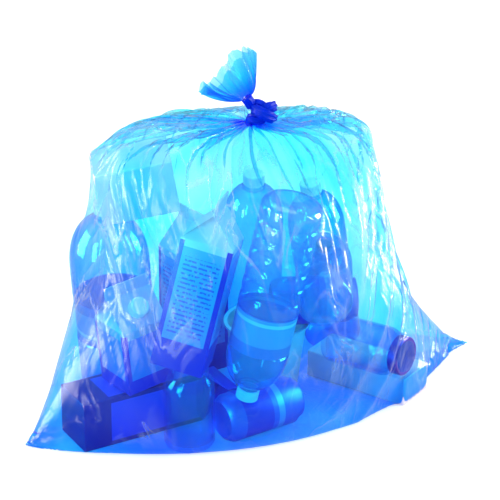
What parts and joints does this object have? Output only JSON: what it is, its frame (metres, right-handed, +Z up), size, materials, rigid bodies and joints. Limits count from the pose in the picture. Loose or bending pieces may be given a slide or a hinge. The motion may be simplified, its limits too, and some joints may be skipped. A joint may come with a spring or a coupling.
{
  "type": "garbage bag",
  "caption": "Tied blue see-through recycling bag standing on its base, full of empty cartons, bottles, cans and jars that show through the film",
  "frame": {"origin": "on the floor under the middle of the bag's bounding box", "axes": "+Z is up, X runs along the bottom seam from corner to corner, and -Y is the front"},
  "size_m": [0.6608, 0.4158, 0.5174],
  "materials": {
    "film": "thin see-through blue film, glossy, with folds",
    "clear_plastic": "clear blown plastic",
    "glass": "clear glass",
    "carton_board": "coated board, printed in violet and pale blue",
    "dark_board": "coated board, printed dark violet",
    "pale_board": "pale coated board",
    "label": "plain pale blue wrap",
    "cap_plastic": "white moulded plastic",
    "lid_metal": "dark violet lacquered lid",
    "can_metal": "printed drink can, dark blue",
    "tub_plastic": "white tub"
  },
  "bodies": {
    "root": {"bag_film": "film", "carton_front": "carton_board", "carton_small": "carton_board", "carton_small_cap": "cap_plastic", "carton_corner": "dark_board", "carton_back": "carton_board", "box_pale": "pale_board", "juice_box": "pale_board", "bottle_ribbed": "clear_plastic", "bottle_ribbed_cap": "cap_plastic", "bottle_ribbed_label": "label", "bottle_large": "clear_plastic", "bottle_large_cap": "cap_plastic", "bottle_large_label": "label", "bottle_round": "clear_plastic", "bottle_round_cap": "cap_plastic", "bottle_right": "clear_plastic", "bottle_right_cap": "cap_plastic", "bottle_right_label": "label", "bottle_back": "clear_plastic", "bottle_back_cap": "cap_plastic", "jar": "glass", "jar_lid": "lid_metal", "jar_open": "glass", "can_front": "can_metal", "can_back": "can_metal", "tub": "tub_plastic"}
  },
  "joints": []
}
